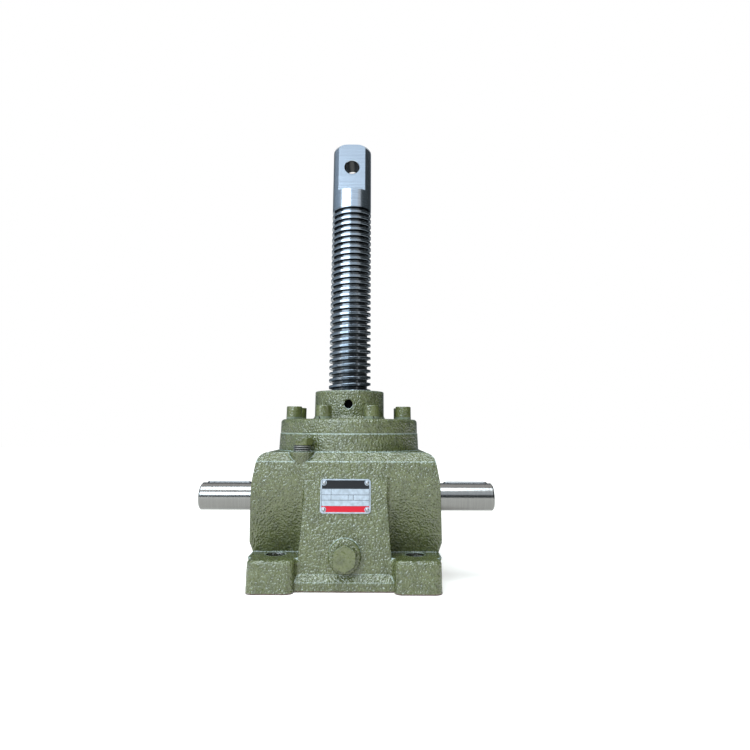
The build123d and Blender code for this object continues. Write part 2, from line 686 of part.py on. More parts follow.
def key_blank(height):
    """Round-ended bar in the +X keyway, from the keyway's floor up."""
    floor = SHAFT_DIAMETER / 2 - KEY_SEAT_DEPTH
    centre = SHAFT_LENGTH / 2 - KEY_END_MARGIN - key_length / 2
    blank = Pos(centre, 0, floor) * extrude(SlotOverall(key_length, KEY_WIDTH), height)
    return Pos(0, shaft_y, WORM_AXIS_HEIGHT) * Rot(-KEY_ANGLE, 0, 0) * blank


def shaft_key():
    """Parallel key with round ends."""
    key = key_blank(KEY_HEIGHT)
    outward = Axis((0, 0, 0), (0, sin(radians(KEY_ANGLE)), cos(radians(KEY_ANGLE))))
    return chamfer(key.faces().sort_by(outward)[-1].edges(), KEY_WIDTH / 20)


# Ball bearings of the input shaft

race_radius = (BALL_BEARING_BORE + BALL_BEARING_OUTSIDE) / 4


def bearing_groove():
    """Ball track of a bearing at the origin."""
    return Torus(race_radius, BALL_BEARING_BALL / 2 + ROLLING_FIT)


def bearing_ring(inside, outside):
    """One ring of a ball bearing, placed at the +X side."""
    body = Cylinder(outside / 2, BALL_BEARING_WIDTH) - Cylinder(inside / 2, BALL_BEARING_WIDTH)
    centre = (bearing_inner_side + bearing_outer_side) / 2
    return along_shaft(Pos(0, 0, centre) * (body - bearing_groove()))


def inner_ring():
    """Bearing ring that turns with the shaft."""
    return bearing_ring(BALL_BEARING_BORE, BALL_BEARING_BORE + 2 * BALL_BEARING_RACE)


def outer_ring():
    """Bearing ring that sits in the housing."""
    return bearing_ring(BALL_BEARING_OUTSIDE - 2 * BALL_BEARING_RACE, BALL_BEARING_OUTSIDE)


def bearing_balls():
    """Balls of the +X bearing."""
    centre = (bearing_inner_side + bearing_outer_side) / 2
    step = 360 / BALL_BEARING_COUNT
    return [along_shaft(Rot(0, 0, step * ball) * Pos(race_radius, 0, centre)
                        * Sphere(BALL_BEARING_BALL / 2))
            for ball in range(BALL_BEARING_COUNT)]


def bearing_cage():
    """Ring that spaces the balls of the +X bearing."""
    centre = (bearing_inner_side + bearing_outer_side) / 2
    half = CAGE_WALL / 2
    body = Cylinder(race_radius + half, BALL_BEARING_WIDTH - CAGE_WALL)
    body -= Cylinder(race_radius - half, BALL_BEARING_WIDTH)
    step = 360 / BALL_BEARING_COUNT
    body -= [Rot(0, 0, step * ball) * Pos(race_radius, 0, 0) * Rot(0, 90, 0)
             * Cylinder(BALL_BEARING_BALL / 2 + ROLLING_FIT, BALL_BEARING_BALL)
             for ball in range(BALL_BEARING_COUNT)]
    return along_shaft(Pos(0, 0, centre) * body)


def retaining_ring():
    """Internal snap ring outside the +X bearing, open at the bottom."""
    outside = BALL_BEARING_OUTSIDE / 2 + RETAINING_RING_GROOVE
    body = Cylinder(outside, RETAINING_RING_THICKNESS)
    body -= Cylinder(outside - RETAINING_RING_WALL, RETAINING_RING_THICKNESS)
    body -= Pos(outside, 0, 0) * Box(2 * outside, RETAINING_RING_WALL, RETAINING_RING_WALL)
    centre = bearing_outer_side + RETAINING_RING_THICKNESS / 2
    return along_shaft(Pos(0, 0, centre) * body)


def shaft_seal():
    """Lip seal at the +X side, with a recess behind its lip."""
    bore = BALL_BEARING_BORE / 2 + RUNNING_FIT
    body = Cylinder(BALL_BEARING_OUTSIDE / 2, SEAL_WIDTH) - Cylinder(bore, SEAL_WIDTH)
    recess = Cylinder(BALL_BEARING_OUTSIDE / 2 - CAGE_WALL, SEAL_WIDTH)
    recess -= Cylinder(bore + CAGE_WALL, SEAL_WIDTH)
    body -= Pos(0, 0, -CAGE_WALL) * recess
    return along_shaft(Pos(0, 0, seal_outer_side - SEAL_WIDTH / 2) * body)


# Thrust ball bearings of the wheel

thrust_track = (THRUST_BORE + THRUST_DIAMETER) / 4


def thrust_groove(height):
    """Ball track of a thrust bearing whose balls lie at one height."""
    return Pos(0, 0, height) * Torus(thrust_track, THRUST_BALL / 2 + ROLLING_FIT)


def thrust_washer(bottom, ball_height, turning):
    """Grooved washer: the turning one fits the wheel, the fixed one its seat."""
    inside = THRUST_BORE if turning else THRUST_BORE + 2 * THRUST_PLAY
    outside = THRUST_DIAMETER - 2 * THRUST_PLAY if turning else THRUST_DIAMETER
    washer = ring(inside, outside, bottom, bottom + THRUST_WASHER)
    return washer - thrust_groove(ball_height)


def thrust_balls(ball_height):
    """Balls of one thrust bearing."""
    step = 360 / THRUST_BALL_COUNT
    return [Rot(0, 0, step * ball) * Pos(thrust_track, 0, ball_height) * Sphere(THRUST_BALL / 2)
            for ball in range(THRUST_BALL_COUNT)]


def thrust_cage(ball_height):
    """Ring that spaces the balls of one thrust bearing."""
    half = (THRUST_DIAMETER - THRUST_BORE) / 4 - THRUST_PLAY
    body = ring(2 * (thrust_track - half), 2 * (thrust_track + half),
                ball_height - CAGE_THICKNESS / 2, ball_height + CAGE_THICKNESS / 2)
    step = 360 / THRUST_BALL_COUNT
    return body - [Rot(0, 0, step * ball) * Pos(thrust_track, 0, ball_height)
                   * Cylinder(THRUST_BALL / 2 + ROLLING_FIT, THRUST_BALL)
                   for ball in range(THRUST_BALL_COUNT)]


# Plugs

def plug(hex_size, hex_height, neck):
    """Threaded plug standing on Z=0, with a hexagon above a bare neck."""
    stem = rod(PLUG_THREAD_DIAMETER / 2, -PLUG_THREAD_LENGTH, neck)
    stem = chamfer(stem.faces().sort_by(Axis.Z)[0].edges(), THREAD_FIT * 10)
    head = hexagon(hex_size, neck, neck + hex_height)
    corner = hex_size / sqrt(3)
    crown = Cone(corner + hex_height, corner - hex_height / 8, 2 * hex_height)
    crown_base = neck + hex_height - 2 * hex_height
    head &= Pos(0, 0, crown_base + hex_height) * crown
    return stem + head


def drain_plug():
    """Plug low on the front, with a point of its hexagon upward."""
    turned = Rot(0, 0, 90) * plug(DRAIN_HEX, DRAIN_HEX_HEIGHT, PLUG_WASHER_THICKNESS)
    return front_facing(turned, DRAIN_HEIGHT, drain_face)


def drain_washer():
    """Soft sealing washer under the drain plug."""
    washer = ring(PLUG_THREAD_DIAMETER, DRAIN_HEX, 0, PLUG_WASHER_THICKNESS)
    return front_facing(washer, DRAIN_HEIGHT, drain_face)


def vent_plug():
    """Filling and breather plug with a bare threaded neck."""
    return Pos(vent_x, vent_y, vent_face) * plug(VENT_HEX, VENT_HEX_HEIGHT, VENT_NECK)


# Nameplate

def rivet_places():
    """The four rivet centres, from the middle of the plate."""
    return [(x * (PLATE_WIDTH / 2 - RIVET_INSET), y * (PLATE_HEIGHT / 2 - RIVET_INSET))
            for x in (-1, 1) for y in (-1, 1)]


def nameplate():
    """Thin plate on the raised centre panel."""
    plate = extrude(RectangleRounded(PLATE_WIDTH, PLATE_HEIGHT, PLATE_CORNER), PLATE_THICKNESS)
    plate -= [Pos(x, y) * rod(RIVET_SHANK / 2, -1, PLATE_THICKNESS + 1)
              for x, y in rivet_places()]
    return on_front(plate)


def plate_rivet():
    """Drive rivet with a domed head."""
    shank = rod(RIVET_SHANK / 2, -RIVET_LENGTH + 1, PLATE_THICKNESS)
    dome = Sphere(RIVET_HEAD / 2) & rod(RIVET_HEAD, 0, RIVET_HEAD)
    return shank + Pos(0, 0, PLATE_THICKNESS) * dome


def plate_rivets():
    """The four rivets in their places."""
    return [on_front(Pos(x, y) * plate_rivet())
            for x, y in rivet_places()]


def pieces():
    """Every node's name with its solids."""
    lower_balls = bearing_floor + THRUST_HEIGHT / 2
    upper_balls = bearing_ceiling - THRUST_HEIGHT / 2
    hub_wiper_bottom = hub_top - HUB_WIPER_SINK - WIPER_HEIGHT
    base_wiper_top = BASE_WIPER_SINK + WIPER_HEIGHT
    return {
        "housing": [housing()],
        "top_cover": [top_cover()],
        "cover_gasket": [cover_gasket()],
        "cover_screws": bolt_circle(cover_screw()),
        "spring_washers": bolt_circle(spring_washer()),
        "hub_guide_bush": [guide_bush(bearing_ceiling, hub_wiper_bottom)],
        "hub_wiper": [wiper(hub_wiper_bottom)],
        "base_guide_bush": [guide_bush(base_wiper_top, bearing_floor)],
        "base_wiper": [wiper(BASE_WIPER_SINK)],
        "lifting_screw": [lifting_screw()],
        "worm_wheel": [worm_wheel()],
        "lower_fixed_washer": [thrust_washer(bearing_floor, lower_balls, False)],
        "lower_turning_washer": [
            thrust_washer(hub_lower - THRUST_WASHER, lower_balls, True)],
        "lower_thrust_balls": thrust_balls(lower_balls),
        "lower_thrust_cage": [thrust_cage(lower_balls)],
        "upper_fixed_washer": [
            thrust_washer(bearing_ceiling - THRUST_WASHER, upper_balls, False)],
        "upper_turning_washer": [thrust_washer(hub_upper, upper_balls, True)],
        "upper_thrust_balls": thrust_balls(upper_balls),
        "upper_thrust_cage": [thrust_cage(upper_balls)],
        "input_shaft": [input_shaft()],
        "shaft_keys": on_both_sides(shaft_key),
        "bearing_inner_rings": on_both_sides(inner_ring),
        "bearing_outer_rings": on_both_sides(outer_ring),
        "bearing_balls": [copy for ball in bearing_balls()
                          for copy in (ball, mirror(ball, about=Plane.YZ))],
        "bearing_cages": on_both_sides(bearing_cage),
        "retaining_rings": on_both_sides(retaining_ring),
        "shaft_seals": on_both_sides(shaft_seal),
        "drain_plug": [drain_plug()],
        "drain_washer": [drain_washer()],
        "vent_plug": [vent_plug()],
        "nameplate": [nameplate()],
        "plate_rivets": plate_rivets(),
    }


os.makedirs("parts", exist_ok=True)
for name, solids in pieces().items():
    shape = solids[0] if len(solids) == 1 else Compound(children=list(solids))
    export_step(shape, f"parts/{name}.step")
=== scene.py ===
import math

import bmesh
import bpy
from mathutils import Matrix, Vector


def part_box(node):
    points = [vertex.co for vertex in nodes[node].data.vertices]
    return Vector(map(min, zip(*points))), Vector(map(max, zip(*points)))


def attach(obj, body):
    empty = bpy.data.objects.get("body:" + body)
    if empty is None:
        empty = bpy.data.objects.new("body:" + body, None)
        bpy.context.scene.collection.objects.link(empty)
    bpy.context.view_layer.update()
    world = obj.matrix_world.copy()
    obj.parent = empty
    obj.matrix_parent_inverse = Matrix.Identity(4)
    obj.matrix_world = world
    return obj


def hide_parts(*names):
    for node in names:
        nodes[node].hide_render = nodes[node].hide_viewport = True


# Looks of the screw jack, in metres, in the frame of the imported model.
# The screw axis is Z, the input shaft lies along X and the front faces -Y.

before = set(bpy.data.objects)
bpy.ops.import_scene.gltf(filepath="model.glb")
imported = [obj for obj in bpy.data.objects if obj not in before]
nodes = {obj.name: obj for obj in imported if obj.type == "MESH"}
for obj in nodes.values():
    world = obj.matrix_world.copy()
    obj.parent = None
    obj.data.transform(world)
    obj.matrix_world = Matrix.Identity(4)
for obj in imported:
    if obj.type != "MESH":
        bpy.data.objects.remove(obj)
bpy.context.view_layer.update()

# Camera, fitted to the thread turns and the round cover in the photograph
PHOTO_SIZE = 750.0
FOCAL_PIXELS = 575.5
PRINCIPAL_X = 368.5
PRINCIPAL_Y = 257.4
CAMERA_PLACE = (0.0235, -0.7351, 0.1544)
CAMERA_PITCH = 16.575
CAMERA_YAW = 0.05
CAMERA_ROLL = 0.2
SENSOR_WIDTH = 36.0

# Meshes
WELD = 1e-6  # vertices this close are merged
LEVEL = 1e-5  # heights this close count as the same
ROUND_STEPS = 64

# Thread of the lifting screw
THREAD_PITCH = 0.008
THREAD_CREST_RADIUS = 0.026
THREAD_DEPTH = 0.0045
THREAD_CREST_HALF = 0.00146
THREAD_FLANK_ANGLE = 15.0
THREAD_EDGE = 0.00018
THREAD_TOP = 0.4366
THREAD_GROOVE_HEIGHT = 0.434
THREAD_GROOVE_ANGLE = -65.0
THREAD_STEPS = 96
THREAD_SPARE_TURNS = 2  # past each end, pressed flat onto it
THREAD_SHARP_ANGLE = 30.0

# Head of the lifting screw
HEAD_STEPS = 128
HEAD_ROUNDING = 0.007
HEAD_ROUNDING_STEPS = 10
HEAD_FLAT_HALF = 0.0188
HEAD_FLAT_LENGTH = 0.068
EYE_RADIUS = 0.0095
EYE_DROP = 0.034
EYE_CHAMFER = 0.001
FLAT_CUTTER_SPARE = 0.01  # above the head
EYE_CUTTER_SPARE = 0.002  # past each flat

# Thread of the vent plug
VENT_STEM = 0.00835
VENT_STEM_INSET = 0.0004  # of the hidden inner wall
VENT_CREST = 0.0010
VENT_CRESTS = 3
VENT_CREST_START = 0.42  # of the pitch
VENT_CREST_END = 0.62
VENT_THREAD_PITCH = 0.0020
VENT_THREAD_DROP = 0.0138  # from the top of the hexagon down to the lowest crest
VENT_SHARP_ANGLE = 20.0

# Paint
PAINT_GREEN = (0.102, 0.113, 0.031)
PAINT_DARK = (0.064, 0.073, 0.018)
PAINT_BLOTCH = 90.0
PAINT_GRAIN = 490.0
PAINT_GRAIN_HEIGHT = 0.0017
PAINT_EDGE = 0.0020
PAINT_EDGE_SAMPLES = 6
PAINT_ROUGHNESS = 0.18
PAINT_SHINE = 1.0
# Painted shade in the grain's creases and painted highlight on its crests: colours and shares
PAINT_CREASE_SHADE = (0.046, 0.053, 0.013)
PAINT_CREASE_SHADE_SHARE = 0.5
PAINT_CREST_HIGHLIGHT = (0.200, 0.240, 0.165)
PAINT_CREST_HIGHLIGHT_SHARE = 0.18
# Painted highlight on edges and corners that face upwards
PAINT_EDGE_HIGHLIGHT = (0.46, 0.55, 0.51)
SMALL_GRAIN_AND_PAINTED_LIGHT = 0.35  # of the paint's grain and of its painted crease shade and crest highlight, on the screws and plugs
SMALL_EDGE = 0.15  # of the paint's edge rounding, which also sets the width of its painted edge highlight, on the same
PRIMER = (0.075, 0.022, 0.014)
PRIMER_HEIGHT = 0.0011  # bare of paint below this height
# Painted shade inside the four foot holes
HOLE_SHADE = (0.026, 0.027, 0.012)
FOOT_HOLE = (0.072, 0.078, 0.0104)  # place of the four holes from both axes, and radius
FOOT_HEIGHT = 0.0298

# Turned steel
SCREW_STEEL = (0.40, 0.46, 0.53)
SCREW_STEEL_DARK = 0.75  # of its colour, in the darker rings
SHAFT_STEEL = (0.25, 0.245, 0.235)
SHAFT_STEEL_DARK = 0.8
TURNED_ROUGHNESS = 0.2
RINGS_ACROSS = 900.0
RINGS_ALONG = 12.0
RINGS_HEIGHT = 0.0001
RINGS_STRENGTH = 0.25
GREASE = (0.04, 0.04, 0.037)
# Painted shade inside the screw's cross hole
EYE_SHADE = (0.02, 0.02, 0.018)
EYE_SHADE_RIM = 0.0003  # past the hole's radius

# Slight unevenness of the plain finishes
PLAIN_GRAIN = 300.0
PLAIN_GRAIN_HEIGHT = 0.00005
PLAIN_GRAIN_STRENGTH = 0.3
PLAIN_DARK = 0.75  # of the colour, in the darker spots

# Plain finishes, as colour, roughness and metallic share
BRONZE = ((0.55, 0.36, 0.16), 0.35, 1.0)
PLATE_ALUMINIUM = ((0.50, 0.55, 0.61), 0.3, 0.25)
VENT_STEEL = ((0.015, 0.015, 0.015), 0.3, 0.8)
# Painted highlight on the vent thread's crests
VENT_CREST_HIGHLIGHT = (0.55, 0.55, 0.52)
VENT_CREST_HIGHLIGHT_START = 0.8  # of a crest's height
# Painted shade, near black, on the outside of the hub's bush, to this depth
BUSH_SHADE = (0.004, 0.004, 0.004)
BUSH_SHADE_DEPTH = 0.001

# Plain finishes of whole pieces: colour, roughness, metallic share and the nodes
FINISHES = {
    # Spring washers pale all over as a painted highlight under the screw heads
    "washers_pale_as_painted_highlight": ((0.22, 0.25, 0.17), 0.25, 0.3, ["spring_washers"]),
    "black_rubber": ((0.03, 0.03, 0.03), 0.6, 0.0, ["hub_wiper", "base_wiper", "shaft_seals"]),
    "bronze": (*BRONZE, ["base_guide_bush", "worm_wheel"]),
    "cage_brass": ((0.65, 0.48, 0.2), 0.3, 1.0, [
        "lower_thrust_cage", "upper_thrust_cage", "bearing_cages"]),
    "bearing_steel": ((0.7, 0.7, 0.72), 0.15, 1.0, [
        "lower_fixed_washer", "lower_turning_washer", "upper_fixed_washer",
        "upper_turning_washer", "lower_thrust_balls", "upper_thrust_balls",
        "bearing_inner_rings", "bearing_outer_rings", "bearing_balls"]),
    "dark_spring_steel": ((0.12, 0.12, 0.12), 0.4, 1.0, ["retaining_rings"]),
    "gasket_fibre": ((0.35, 0.38, 0.30), 0.8, 0.0, ["cover_gasket"]),
    # Drain washer near black as painted shade under the drain boss
    "drain_washer_painted_shade": ((0.035, 0.03, 0.02), 0.7, 0.0, ["drain_washer"]),
    "key_steel": ((0.2, 0.2, 0.2), 0.45, 1.0, ["shaft_keys"]),
    "rivet_aluminium": ((0.42, 0.43, 0.45), 0.4, 1.0, ["plate_rivets"]),
}

# Print on the nameplate, as parts of its width from the left and its height from the top
PRINT_BLACK = (0.012, 0.012, 0.015)
PRINT_RED = (0.62, 0.008, 0.025)
PRINT_LEFT = 0.027
PRINT_LINE = 0.0004
PRINT_HEADER = (0.037, 0.283)
PRINT_FOOTER = (0.789, 0.96)
PRINT_ROWS = (0.283, 0.463, 0.617, 0.789)
PRINT_DIVIDERS = ((0.214, 0, 2), (0.554, 1, 2), (0.656, 1, 2))
PRINT_CORNER = 0.0027
RIVET_INSET = 0.0036

# Floor and sky
SKY_LIGHT = 0.58
SKY_COLOUR = (0.80, 0.90, 1.0)
FLOOR_HALF = 4.0
FLOOR_COLOUR = (0.75, 0.70, 0.62)
FLOOR_GLOW_NEAR = 0.5  # added where the camera sees it, so that it is nearly white
FLOOR_GLOW_FAR = 1.0
FLOOR_GLOW_START = 0.3  # distance from the screw's axis where the near glow ends
FLOOR_GLOW_END = 1.6
FLOOR_GLOW_REACH = 2.0

# Boards that only shiny surfaces show: colour, ends of the lower edge, height
BOARD_ROUGHNESS = 0.9
BOARDS = {
    "right_board": ((0.06, 0.06, 0.055), (1.0, -0.7), (1.0, 1.2), 1.4),
    "back_board": ((0.16, 0.17, 0.18), (-1.6, 1.2), (1.0, 1.2), 1.4),
    "left_board": ((0.55, 0.58, 0.62), (-1.0, -0.35), (-1.0, 1.2), 1.4),
    "front_board": ((0.07, 0.08, 0.09), (-2.0, -1.9), (2.0, -1.9), 0.8),
}

# Soft lights: place, point aimed at, width and height, radiance and colour
WINDOWS = {
    "front_window": ((-0.9, -1.35, 0.84), (0, 0, 0.12), (1.5, 0.62), 9.0, (0.74, 0.88, 1.0)),
    "centre_window": ((0.35, -1.45, 1.1), (0, 0, 0.3), (1.3, 0.8), 0.45, (0.4, 0.7, 1.0)),
    "top_window": ((-0.1, -0.6, 1.7), (0, -0.05, 0.1), (1.2, 0.8), 8.5, (0.78, 0.90, 1.0)),
}


# Shader helpers

def new_material(name):
    """Empty node material with its output, and the surface shader on it."""
    material = bpy.data.materials.new(name)
    material.use_nodes = True
    tree = material.node_tree
    tree.nodes.clear()
    output = tree.nodes.new("ShaderNodeOutputMaterial")
    surface = tree.nodes.new("ShaderNodeBsdfPrincipled")
    tree.links.new(surface.outputs[0], output.inputs["Surface"])
    return material, tree, surface


def add(tree, kind, **values):
    """New node with its properties and input values set."""
    node = tree.nodes.new(kind)
    for key, value in values.items():
        if hasattr(node, key):
            setattr(node, key, value)
        else:
            node.inputs[key.replace("_", " ")].default_value = value
    return node


def ramp(tree, factor, stops):
    """Colour ramp from a factor, with its stops as (position, colour)."""
    node = tree.nodes.new("ShaderNodeValToRGB")
    while len(node.color_ramp.elements) < len(stops):
        node.color_ramp.elements.new(0.5)
    for element, (position, colour) in zip(node.color_ramp.elements, stops):
        element.position = position
        element.color = (*colour, 1.0)
    tree.links.new(factor, node.inputs["Fac"])
    return node.outputs["Color"]


def grey(value):
    """Neutral colour of one brightness."""
    return (value, value, value)


def darker(colour, share):
    """A share of a colour."""
    return tuple(channel * share for channel in colour)


def maths(tree, operation, *values):
    """Result of a maths node on sockets or numbers."""
    node = tree.nodes.new("ShaderNodeMath")
    node.operation = operation
    for socket, value in zip(node.inputs, values):
        if isinstance(value, (int, float)):
            socket.default_value = value
        else:
            tree.links.new(value, socket)
    return node.outputs[0]


def largest(tree, factors):
    """Largest of several factors."""
    result = factors[0]
    for factor in factors[1:]:
        result = maths(tree, "MAXIMUM", result, factor)
    return result


def square_distance(tree, across, along):
    """Sum of the squares of two offsets."""
    return maths(tree, "ADD", maths(tree, "MULTIPLY", across, across),
                 maths(tree, "MULTIPLY", along, along))


def tinted(tree, factor, first, second):
    """Colour mixed from two by a factor."""
    node = add(tree, "ShaderNodeMix", data_type="RGBA")
    tree.links.new(factor, node.inputs["Factor"])
    for socket, value in ((node.inputs["A"], first), (node.inputs["B"], second)):
        if isinstance(value, tuple):
            socket.default_value = (*value, 1.0)
        else:
            tree.links.new(value, socket)
    return node.outputs["Result"]


def object_point(tree):
    """Coordinates of the surface point in the frame."""
    return tree.nodes.new("ShaderNodeTexCoord").outputs["Object"]


def separated(tree, vector):
    """The X, Y and Z outputs of a vector."""
    parts = tree.nodes.new("ShaderNodeSeparateXYZ")
    tree.links.new(vector, parts.inputs[0])
    return parts.outputs


def from_axis(tree, x=0.0, y=0.0):
    """Distance of the surface point from an upright line."""
    offset = add(tree, "ShaderNodeVectorMath", operation="SUBTRACT")
    offset.inputs[1].default_value = (x, y, 0.0)
    tree.links.new(object_point(tree), offset.inputs[0])
    flat = add(tree, "ShaderNodeVectorMath", operation="MULTIPLY")
    flat.inputs[1].default_value = (1.0, 1.0, 0.0)
    tree.links.new(offset.outputs[0], flat.inputs[0])
    length = add(tree, "ShaderNodeVectorMath", operation="LENGTH")
    tree.links.new(flat.outputs[0], length.inputs[0])
    return length.outputs["Value"]


def recolour(material, factor, colour):
    """Give a material another colour where a factor is 1."""
    tree = material.node_tree
    surface = next(node for node in tree.nodes if node.type == "BSDF_PRINCIPLED")
    base = surface.inputs["Base Color"]
    tree.links.new(tinted(tree, factor, base.links[0].from_socket, colour), base)


# Materials

def upper_edges(tree, rounded):
    """Factor that is 1 on edges and in corners that face upwards, from the rounded normal there; it
    places the paint's painted edge highlight.
    """
    bend = add(tree, "ShaderNodeVectorMath", operation="DOT_PRODUCT")
    tree.links.new(rounded, bend.inputs[0])
    tree.links.new(tree.nodes.new("ShaderNodeNewGeometry").outputs["Normal"], bend.inputs[1])
    edge = ramp(tree, bend.outputs["Value"], [(0.955, grey(1.0)), (0.993, grey(0.0))])
    upward = ramp(tree, separated(tree, rounded)["Z"], [(0.08, grey(0.0)), (0.3, grey(1.0))])
    return maths(tree, "MULTIPLY", edge, upward)


def paint_material(name, grain_and_painted_light=1.0, edge=1.0):
    """Glossy olive hammered paint, thick on the edges, with painted shade in its creases and painted
    highlights on its crests and upper edges.
    """
    material, tree, surface = new_material(name)
    point = object_point(tree)
    peel = add(tree, "ShaderNodeTexNoise", Scale=PAINT_GRAIN, Detail=0.8)
    tree.links.new(point, peel.inputs["Vector"])
    blotch = add(tree, "ShaderNodeTexNoise", Scale=PAINT_BLOTCH, Detail=3.0, Roughness=0.7)
    tree.links.new(point, blotch.inputs["Vector"])
    height = peel.outputs["Fac"]
    plain = ramp(tree, blotch.outputs["Fac"], [(0.36, PAINT_DARK), (0.58, PAINT_GREEN)])
    # Painted shade in the grain's creases and painted highlight on its crests
    crease_shade = ramp(tree, height, [(0.36, grey(PAINT_CREASE_SHADE_SHARE * grain_and_painted_light)), (0.5, grey(0.0))])
    crest_highlight = ramp(tree, height, [(0.52, grey(0.0)), (0.66, grey(PAINT_CREST_HIGHLIGHT_SHARE * grain_and_painted_light))])
    rounded = add(tree, "ShaderNodeBevel", samples=PAINT_EDGE_SAMPLES, Radius=PAINT_EDGE * edge)
    # Painted highlight on upward-facing edges, broken up by the grain
    edge_highlight = maths(tree, "MULTIPLY", upper_edges(tree, rounded.outputs["Normal"]),
                   ramp(tree, height, [(0.36, grey(0.3)), (0.56, grey(0.8))]))
    relief_with_painted_light = tinted(tree, crest_highlight, tinted(tree, crease_shade, plain, PAINT_CREASE_SHADE), PAINT_CREST_HIGHLIGHT)
    tree.links.new(tinted(tree, edge_highlight, relief_with_painted_light, PAINT_EDGE_HIGHLIGHT), surface.inputs["Base Color"])
    bump = add(tree, "ShaderNodeBump", Strength=1.0, Distance=PAINT_GRAIN_HEIGHT * grain_and_painted_light)
    tree.links.new(height, bump.inputs["Height"])
    tree.links.new(rounded.outputs["Normal"], bump.inputs["Normal"])
    tree.links.new(bump.outputs["Normal"], surface.inputs["Normal"])
    surface.inputs["Roughness"].default_value = PAINT_ROUGHNESS
    surface.inputs["Specular IOR Level"].default_value = PAINT_SHINE
    return material


def turned_steel(name, colour, dark, axis):
    """Steel with fine rings square to one axis, as left by a lathe or grinder."""
    material, tree, surface = new_material(name)
    stretch = add(tree, "ShaderNodeMapping")
    stretch.inputs["Scale"].default_value = tuple(
        RINGS_ACROSS if letter == axis else RINGS_ALONG for letter in "XYZ")
    tree.links.new(object_point(tree), stretch.inputs["Vector"])
    lines = add(tree, "ShaderNodeTexNoise", Scale=1.0, Detail=4.0, Roughness=0.7)
    tree.links.new(stretch.outputs["Vector"], lines.inputs["Vector"])
    shade = ramp(tree, lines.outputs["Fac"], [(0.3, darker(colour, dark)), (0.7, colour)])
    tree.links.new(shade, surface.inputs["Base Color"])
    bump = add(tree, "ShaderNodeBump", Strength=RINGS_STRENGTH, Distance=RINGS_HEIGHT)
    tree.links.new(lines.outputs["Fac"], bump.inputs["Height"])
    tree.links.new(bump.outputs["Normal"], surface.inputs["Normal"])
    surface.inputs["Metallic"].default_value = 1.0
    surface.inputs["Roughness"].default_value = TURNED_ROUGHNESS
    return material


def screw_material():
    """Turned steel, dark with old grease on its thread, with painted shade in black inside the cross
    hole.
    """
    material = turned_steel("screw_steel", SCREW_STEEL, SCREW_STEEL_DARK, "Z")
    tree = material.node_tree
    root = THREAD_CREST_RADIUS - THREAD_DEPTH
    depth = maths(tree, "DIVIDE", maths(tree, "SUBTRACT", from_axis(tree), root), THREAD_DEPTH)
    grease = ramp(tree, depth, [(0.0, grey(0.85)), (0.6, grey(0.65)), (0.9, grey(0.35))])
    place = separated(tree, object_point(tree))
    below = maths(tree, "LESS_THAN", place["Z"], THREAD_TOP)
    recolour(material, maths(tree, "MULTIPLY", grease, below), GREASE)
    rise = maths(tree, "SUBTRACT", place["Z"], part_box("lifting_screw")[1].z - EYE_DROP)
    # Painted shade, black, inside the cross hole and just past its radius
    in_eye = maths(tree, "LESS_THAN", square_distance(tree, place["X"], rise),
                   (EYE_RADIUS + EYE_SHADE_RIM) ** 2)
    recolour(material, in_eye, EYE_SHADE)
    return material


def plain_material(name, colour, roughness, metallic=0.0):
    """Simple finish with slight unevenness."""
    material, tree, surface = new_material(name)
    noise = add(tree, "ShaderNodeTexNoise", Scale=PLAIN_GRAIN, Detail=3.0)
    tree.links.new(object_point(tree), noise.inputs["Vector"])
    shade = ramp(tree, noise.outputs["Fac"], [(0.35, darker(colour, PLAIN_DARK)), (0.65, colour)])
    tree.links.new(shade, surface.inputs["Base Color"])
    bump = add(tree, "ShaderNodeBump", Strength=PLAIN_GRAIN_STRENGTH, Distance=PLAIN_GRAIN_HEIGHT)
    tree.links.new(noise.outputs["Fac"], bump.inputs["Height"])
    tree.links.new(bump.outputs["Normal"], surface.inputs["Normal"])
    surface.inputs["Metallic"].default_value = metallic
    surface.inputs["Roughness"].default_value = roughness
    return material


